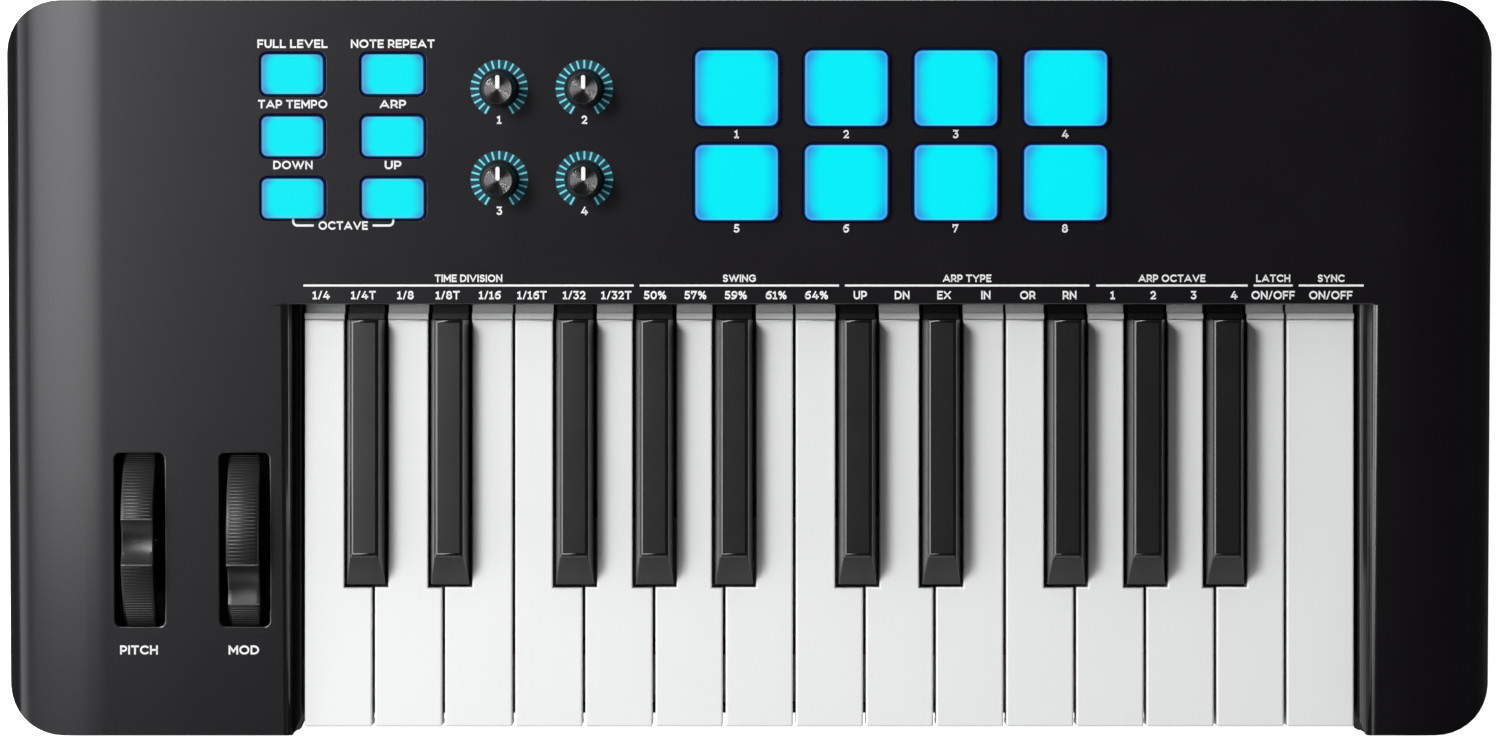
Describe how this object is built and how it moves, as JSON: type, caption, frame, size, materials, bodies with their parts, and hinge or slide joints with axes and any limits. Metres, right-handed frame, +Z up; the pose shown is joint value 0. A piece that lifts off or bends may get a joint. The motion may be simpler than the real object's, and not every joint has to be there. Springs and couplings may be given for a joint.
{
  "type": "keyboard controller",
  "caption": "Compact keyboard controller with full-size hinged keys, lit pads and buttons, turning knobs and two thumb wheels in a black plastic case.",
  "frame": {"origin": "centre of the case's footprint, on the table under the rubber feet", "axes": "+X along the keys from low to high, +Y from the player to the rear, +Z up"},
  "size_m": [0.4964, 0.245, 0.0742],
  "materials": {
    "case_plastic": "fine-grained matt black moulding",
    "base_plastic": "matt black moulding",
    "white_key_plastic": "satin white moulding",
    "black_key_plastic": "satin black moulding",
    "wheel_plastic": "ribbed matt black moulding",
    "knob_plastic": "gloss black, turned top",
    "pad_silicone": "translucent silicone lit cyan from behind",
    "button_plastic": "translucent cap lit cyan from behind",
    "frame_plastic": "natural moulding",
    "bracket_plastic": "grey moulding",
    "steel": "plated steel",
    "felt": "pressed felt",
    "circuit_board": "green solder mask",
    "contact_silicone": "grey silicone",
    "pot_body": "moulded component body",
    "socket_plastic": "black moulding",
    "foot_rubber": "soft rubber"
  },
  "bodies": {
    "case": {"top_case": "case_plastic", "bottom_case": "base_plastic", "wheel_bracket": "bracket_plastic", "key_frame": "frame_plastic", "key_pivot_rod": "steel", "return_springs": "steel", "key_felts": "felt", "contact_board": "circuit_board", "contact_rubber": "contact_silicone", "circuit_boards": "circuit_board", "potentiometers": "pot_body", "usb_port": "steel", "sustain_jack": "socket_plastic", "rubber_feet": "foot_rubber", "case_screws": "steel"},
    "pitch_wheel": {"pitch_wheel": "wheel_plastic"},
    "mod_wheel": {"mod_wheel": "wheel_plastic"},
    "knob_1": {"knob_1": "knob_plastic"},
    "knob_2": {"knob_2": "knob_plastic"},
    "knob_3": {"knob_3": "knob_plastic"},
    "knob_4": {"knob_4": "knob_plastic"},
    "button_full_level": {"button_full_level": "button_plastic"},
    "button_note_repeat": {"button_note_repeat": "button_plastic"},
    "button_tap_tempo": {"button_tap_tempo": "button_plastic"},
    "button_arp": {"button_arp": "button_plastic"},
    "button_octave_down": {"button_octave_down": "button_plastic"},
    "button_octave_up": {"button_octave_up": "button_plastic"},
    "pad_1": {"pad_1": "pad_silicone"},
    "pad_2": {"pad_2": "pad_silicone"},
    "pad_3": {"pad_3": "pad_silicone"},
    "pad_4": {"pad_4": "pad_silicone"},
    "pad_5": {"pad_5": "pad_silicone"},
    "pad_6": {"pad_6": "pad_silicone"},
    "pad_7": {"pad_7": "pad_silicone"},
    "pad_8": {"pad_8": "pad_silicone"},
    "white_key_1": {"white_key_1": "white_key_plastic"},
    "white_key_2": {"white_key_2": "white_key_plastic"},
    "white_key_3": {"white_key_3": "white_key_plastic"},
    "white_key_4": {"white_key_4": "white_key_plastic"},
    "white_key_5": {"white_key_5": "white_key_plastic"},
    "white_key_6": {"white_key_6": "white_key_plastic"},
    "white_key_7": {"white_key_7": "white_key_plastic"},
    "white_key_8": {"white_key_8": "white_key_plastic"},
    "white_key_9": {"white_key_9": "white_key_plastic"},
    "white_key_10": {"white_key_10": "white_key_plastic"},
    "white_key_11": {"white_key_11": "white_key_plastic"},
    "white_key_12": {"white_key_12": "white_key_plastic"},
    "white_key_13": {"white_key_13": "white_key_plastic"},
    "white_key_14": {"white_key_14": "white_key_plastic"},
    "white_key_15": {"white_key_15": "white_key_plastic"},
    "black_key_1": {"black_key_1": "black_key_plastic"},
    "black_key_2": {"black_key_2": "black_key_plastic"},
    "black_key_3": {"black_key_3": "black_key_plastic"},
    "black_key_4": {"black_key_4": "black_key_plastic"},
    "black_key_5": {"black_key_5": "black_key_plastic"},
    "black_key_6": {"black_key_6": "black_key_plastic"},
    "black_key_7": {"black_key_7": "black_key_plastic"},
    "black_key_8": {"black_key_8": "black_key_plastic"},
    "black_key_9": {"black_key_9": "black_key_plastic"},
    "black_key_10": {"black_key_10": "black_key_plastic"}
  },
  "joints": [
    {"name": "pitch_wheel_turn", "type": "hinge", "parent": "case", "child": "pitch_wheel", "pos_m": [-0.20335, -0.0559, 0.03061], "axis": [-1, 0, 0], "range_deg": [-30, 30], "stiffness_Nm_per_rad": 0.06},
    {"name": "mod_wheel_turn", "type": "hinge", "parent": "case", "child": "mod_wheel", "pos_m": [-0.16835, -0.0559, 0.03061], "axis": [-1, 0, 0], "range_deg": [0, 54]},
    {"name": "knob_1_turn", "type": "hinge", "parent": "case", "child": "knob_1", "pos_m": [-0.08315, 0.0931, 0.05945], "axis": [0, 0.0523, -0.9986], "range_deg": [-150, 150]},
    {"name": "knob_2_turn", "type": "hinge", "parent": "case", "child": "knob_2", "pos_m": [-0.05485, 0.0931, 0.05945], "axis": [0, 0.0523, -0.9986], "range_deg": [-150, 150]},
    {"name": "knob_3_turn", "type": "hinge", "parent": "case", "child": "knob_3", "pos_m": [-0.08315, 0.0629, 0.05787], "axis": [0, 0.0523, -0.9986], "range_deg": [-150, 150]},
    {"name": "knob_4_turn", "type": "hinge", "parent": "case", "child": "knob_4", "pos_m": [-0.05485, 0.0629, 0.05787], "axis": [0, 0.0523, -0.9986], "range_deg": [-150, 150]},
    {"name": "button_full_level_press", "type": "slide", "parent": "case", "child": "button_full_level", "axis": [0, 0.0523, -0.9986], "range_m": [0, 0.0012], "stiffness_N_per_m": 800, "springref_m": -0.0005},
    {"name": "button_note_repeat_press", "type": "slide", "parent": "case", "child": "button_note_repeat", "axis": [0, 0.0523, -0.9986], "range_m": [0, 0.0012], "stiffness_N_per_m": 800, "springref_m": -0.0005},
    {"name": "button_tap_tempo_press", "type": "slide", "parent": "case", "child": "button_tap_tempo", "axis": [0, 0.0523, -0.9986], "range_m": [0, 0.0012], "stiffness_N_per_m": 800, "springref_m": -0.0005},
    {"name": "button_arp_press", "type": "slide", "parent": "case", "child": "button_arp", "axis": [0, 0.0523, -0.9986], "range_m": [0, 0.0012], "stiffness_N_per_m": 800, "springref_m": -0.0005},
    {"name": "button_octave_down_press", "type": "slide", "parent": "case", "child": "button_octave_down", "axis": [0, 0.0523, -0.9986], "range_m": [0, 0.0012], "stiffness_N_per_m": 800, "springref_m": -0.0005},
    {"name": "button_octave_up_press", "type": "slide", "parent": "case", "child": "button_octave_up", "axis": [0, 0.0523, -0.9986], "range_m": [0, 0.0012], "stiffness_N_per_m": 800, "springref_m": -0.0005},
    {"name": "pad_1_press", "type": "slide", "parent": "case", "child": "pad_1", "axis": [0, 0.0523, -0.9986], "range_m": [0, 0.001], "stiffness_N_per_m": 1500, "springref_m": -0.0005},
    {"name": "pad_2_press", "type": "slide", "parent": "case", "child": "pad_2", "axis": [0, 0.0523, -0.9986], "range_m": [0, 0.001], "stiffness_N_per_m": 1500, "springref_m": -0.0005},
    {"name": "pad_3_press", "type": "slide", "parent": "case", "child": "pad_3", "axis": [0, 0.0523, -0.9986], "range_m": [0, 0.001], "stiffness_N_per_m": 1500, "springref_m": -0.0005},
    {"name": "pad_4_press", "type": "slide", "parent": "case", "child": "pad_4", "axis": [0, 0.0523, -0.9986], "range_m": [0, 0.001], "stiffness_N_per_m": 1500, "springref_m": -0.0005},
    {"name": "pad_5_press", "type": "slide", "parent": "case", "child": "pad_5", "axis": [0, 0.0523, -0.9986], "range_m": [0, 0.001], "stiffness_N_per_m": 1500, "springref_m": -0.0005},
    {"name": "pad_6_press", "type": "slide", "parent": "case", "child": "pad_6", "axis": [0, 0.0523, -0.9986], "range_m": [0, 0.001], "stiffness_N_per_m": 1500, "springref_m": -0.0005},
    {"name": "pad_7_press", "type": "slide", "parent": "case", "child": "pad_7", "axis": [0, 0.0523, -0.9986], "range_m": [0, 0.001], "stiffness_N_per_m": 1500, "springref_m": -0.0005},
    {"name": "pad_8_press", "type": "slide", "parent": "case", "child": "pad_8", "axis": [0, 0.0523, -0.9986], "range_m": [0, 0.001], "stiffness_N_per_m": 1500, "springref_m": -0.0005},
    {"name": "white_key_1_press", "type": "hinge", "parent": "case", "child": "white_key_1", "pos_m": [0, 0.062, 0.033], "axis": [1, 0, 0], "range_deg": [0, 3.14], "stiffness_Nm_per_rad": 0.65, "springref_deg": -7.91, "deforming": ["return_springs"]},
    {"name": "white_key_2_press", "type": "hinge", "parent": "case", "child": "white_key_2", "pos_m": [0, 0.062, 0.033], "axis": [1, 0, 0], "range_deg": [0, 3.14], "stiffness_Nm_per_rad": 0.65, "springref_deg": -7.91, "deforming": ["return_springs"]},
    {"name": "white_key_3_press", "type": "hinge", "parent": "case", "child": "white_key_3", "pos_m": [0, 0.062, 0.033], "axis": [1, 0, 0], "range_deg": [0, 3.14], "stiffness_Nm_per_rad": 0.65, "springref_deg": -7.91, "deforming": ["return_springs"]},
    {"name": "white_key_4_press", "type": "hinge", "parent": "case", "child": "white_key_4", "pos_m": [0, 0.062, 0.033], "axis": [1, 0, 0], "range_deg": [0, 3.14], "stiffness_Nm_per_rad": 0.65, "springref_deg": -7.91, "deforming": ["return_springs"]},
    {"name": "white_key_5_press", "type": "hinge", "parent": "case", "child": "white_key_5", "pos_m": [0, 0.062, 0.033], "axis": [1, 0, 0], "range_deg": [0, 3.14], "stiffness_Nm_per_rad": 0.65, "springref_deg": -7.91, "deforming": ["return_springs"]},
    {"name": "white_key_6_press", "type": "hinge", "parent": "case", "child": "white_key_6", "pos_m": [0, 0.062, 0.033], "axis": [1, 0, 0], "range_deg": [0, 3.14], "stiffness_Nm_per_rad": 0.65, "springref_deg": -7.91, "deforming": ["return_springs"]},
    {"name": "white_key_7_press", "type": "hinge", "parent": "case", "child": "white_key_7", "pos_m": [0, 0.062, 0.033], "axis": [1, 0, 0], "range_deg": [0, 3.14], "stiffness_Nm_per_rad": 0.65, "springref_deg": -7.91, "deforming": ["return_springs"]},
    {"name": "white_key_8_press", "type": "hinge", "parent": "case", "child": "white_key_8", "pos_m": [0, 0.062, 0.033], "axis": [1, 0, 0], "range_deg": [0, 3.14], "stiffness_Nm_per_rad": 0.65, "springref_deg": -7.91, "deforming": ["return_springs"]},
    {"name": "white_key_9_press", "type": "hinge", "parent": "case", "child": "white_key_9", "pos_m": [0, 0.062, 0.033], "axis": [1, 0, 0], "range_deg": [0, 3.14], "stiffness_Nm_per_rad": 0.65, "springref_deg": -7.91, "deforming": ["return_springs"]},
    {"name": "white_key_10_press", "type": "hinge", "parent": "case", "child": "white_key_10", "pos_m": [0, 0.062, 0.033], "axis": [1, 0, 0], "range_deg": [0, 3.14], "stiffness_Nm_per_rad": 0.65, "springref_deg": -7.91, "deforming": ["return_springs"]},
    {"name": "white_key_11_press", "type": "hinge", "parent": "case", "child": "white_key_11", "pos_m": [0, 0.062, 0.033], "axis": [1, 0, 0], "range_deg": [0, 3.14], "stiffness_Nm_per_rad": 0.65, "springref_deg": -7.91, "deforming": ["return_springs"]},
    {"name": "white_key_12_press", "type": "hinge", "parent": "case", "child": "white_key_12", "pos_m": [0, 0.062, 0.033], "axis": [1, 0, 0], "range_deg": [0, 3.14], "stiffness_Nm_per_rad": 0.65, "springref_deg": -7.91, "deforming": ["return_springs"]},
    {"name": "white_key_13_press", "type": "hinge", "parent": "case", "child": "white_key_13", "pos_m": [0, 0.062, 0.033], "axis": [1, 0, 0], "range_deg": [0, 3.14], "stiffness_Nm_per_rad": 0.65, "springref_deg": -7.91, "deforming": ["return_springs"]},
    {"name": "white_key_14_press", "type": "hinge", "parent": "case", "child": "white_key_14", "pos_m": [0, 0.062, 0.033], "axis": [1, 0, 0], "range_deg": [0, 3.14], "stiffness_Nm_per_rad": 0.65, "springref_deg": -7.91, "deforming": ["return_springs"]},
    {"name": "white_key_15_press", "type": "hinge", "parent": "case", "child": "white_key_15", "pos_m": [0, 0.062, 0.033], "axis": [1, 0, 0], "range_deg": [0, 3.14], "stiffness_Nm_per_rad": 0.65, "springref_deg": -7.91, "deforming": ["return_springs"]},
    {"name": "black_key_1_press", "type": "hinge", "parent": "case", "child": "black_key_1", "pos_m": [0, 0.062, 0.033], "axis": [1, 0, 0], "range_deg": [0, 3.41], "stiffness_Nm_per_rad": 0.65, "springref_deg": -7.91, "deforming": ["return_springs"]},
    {"name": "black_key_2_press", "type": "hinge", "parent": "case", "child": "black_key_2", "pos_m": [0, 0.062, 0.033], "axis": [1, 0, 0], "range_deg": [0, 3.41], "stiffness_Nm_per_rad": 0.65, "springref_deg": -7.91, "deforming": ["return_springs"]},
    {"name": "black_key_3_press", "type": "hinge", "parent": "case", "child": "black_key_3", "pos_m": [0, 0.062, 0.033], "axis": [1, 0, 0], "range_deg": [0, 3.41], "stiffness_Nm_per_rad": 0.65, "springref_deg": -7.91, "deforming": ["return_springs"]},
    {"name": "black_key_4_press", "type": "hinge", "parent": "case", "child": "black_key_4", "pos_m": [0, 0.062, 0.033], "axis": [1, 0, 0], "range_deg": [0, 3.41], "stiffness_Nm_per_rad": 0.65, "springref_deg": -7.91, "deforming": ["return_springs"]},
    {"name": "black_key_5_press", "type": "hinge", "parent": "case", "child": "black_key_5", "pos_m": [0, 0.062, 0.033], "axis": [1, 0, 0], "range_deg": [0, 3.41], "stiffness_Nm_per_rad": 0.65, "springref_deg": -7.91, "deforming": ["return_springs"]},
    {"name": "black_key_6_press", "type": "hinge", "parent": "case", "child": "black_key_6", "pos_m": [0, 0.062, 0.033], "axis": [1, 0, 0], "range_deg": [0, 3.41], "stiffness_Nm_per_rad": 0.65, "springref_deg": -7.91, "deforming": ["return_springs"]},
    {"name": "black_key_7_press", "type": "hinge", "parent": "case", "child": "black_key_7", "pos_m": [0, 0.062, 0.033], "axis": [1, 0, 0], "range_deg": [0, 3.41], "stiffness_Nm_per_rad": 0.65, "springref_deg": -7.91, "deforming": ["return_springs"]},
    {"name": "black_key_8_press", "type": "hinge", "parent": "case", "child": "black_key_8", "pos_m": [0, 0.062, 0.033], "axis": [1, 0, 0], "range_deg": [0, 3.41], "stiffness_Nm_per_rad": 0.65, "springref_deg": -7.91, "deforming": ["return_springs"]},
    {"name": "black_key_9_press", "type": "hinge", "parent": "case", "child": "black_key_9", "pos_m": [0, 0.062, 0.033], "axis": [1, 0, 0], "range_deg": [0, 3.41], "stiffness_Nm_per_rad": 0.65, "springref_deg": -7.91, "deforming": ["return_springs"]},
    {"name": "black_key_10_press", "type": "hinge", "parent": "case", "child": "black_key_10", "pos_m": [0, 0.062, 0.033], "axis": [1, 0, 0], "range_deg": [0, 3.41], "stiffness_Nm_per_rad": 0.65, "springref_deg": -7.91, "deforming": ["return_springs"]}
  ]
}
